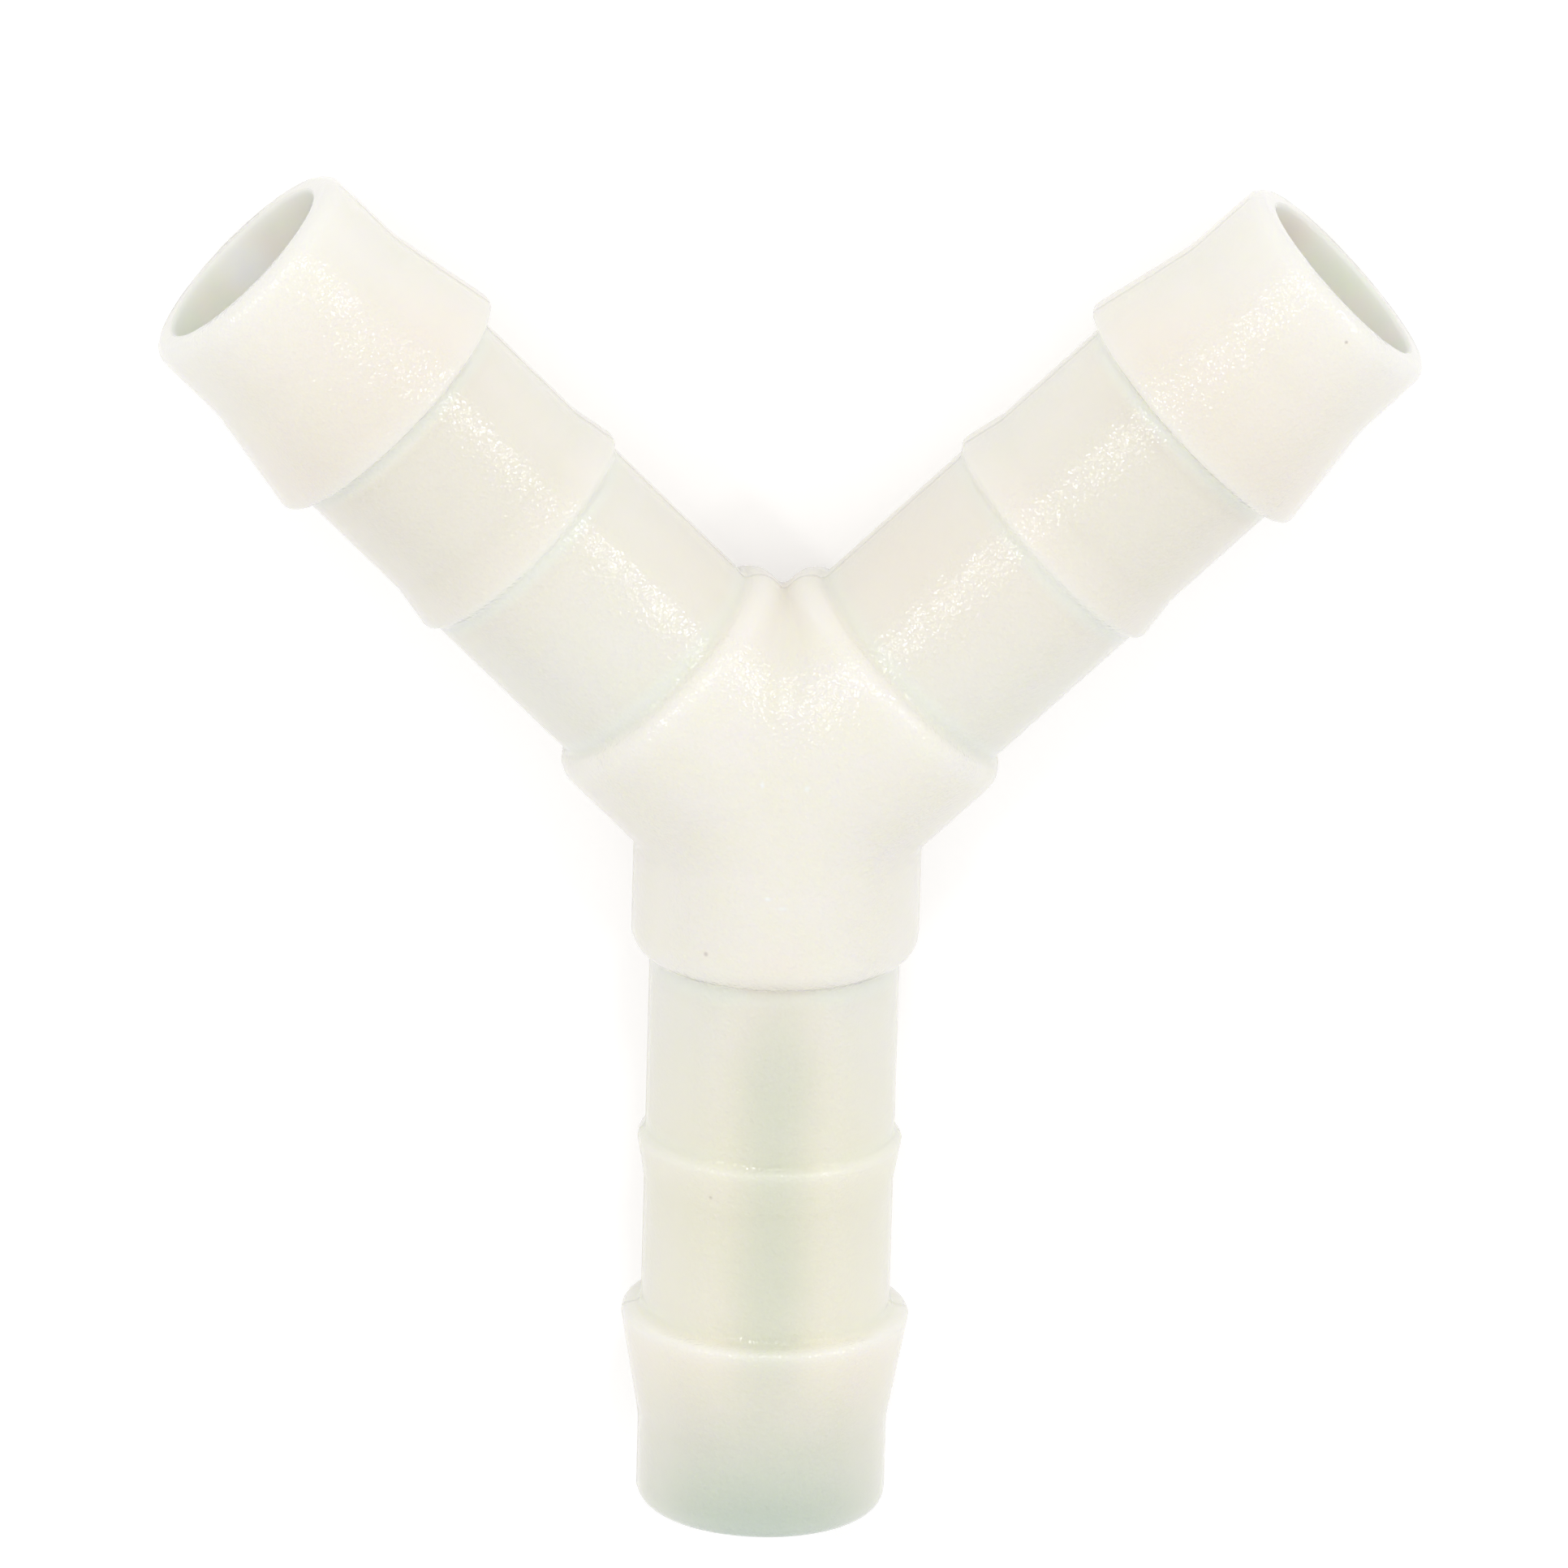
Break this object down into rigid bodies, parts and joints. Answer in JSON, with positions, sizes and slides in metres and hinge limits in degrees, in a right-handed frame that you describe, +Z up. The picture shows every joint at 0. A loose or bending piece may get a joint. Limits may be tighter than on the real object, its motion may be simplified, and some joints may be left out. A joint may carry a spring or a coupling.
{
  "type": "tubing y connector",
  "caption": "Barbed Y hose fitting moulded in translucent natural plastic, with a collared hub, barbed tubular arms and through bores that meet inside.",
  "frame": {"origin": "the point where the three bore axes cross, at mid height of the part", "axes": "the part lies flat with +Z up, square to all three bores; the single arm points along -Y, and the paired arms point towards +Y, 45.5 degrees either side of it, towards +X and -X"},
  "size_m": [0.0764, 0.0843, 0.0176],
  "materials": {
    "polypropylene": "natural translucent polypropylene, fine moulded grain, low sheen"
  },
  "bodies": {
    "root": {"y_connector": "polypropylene"}
  },
  "joints": []
}
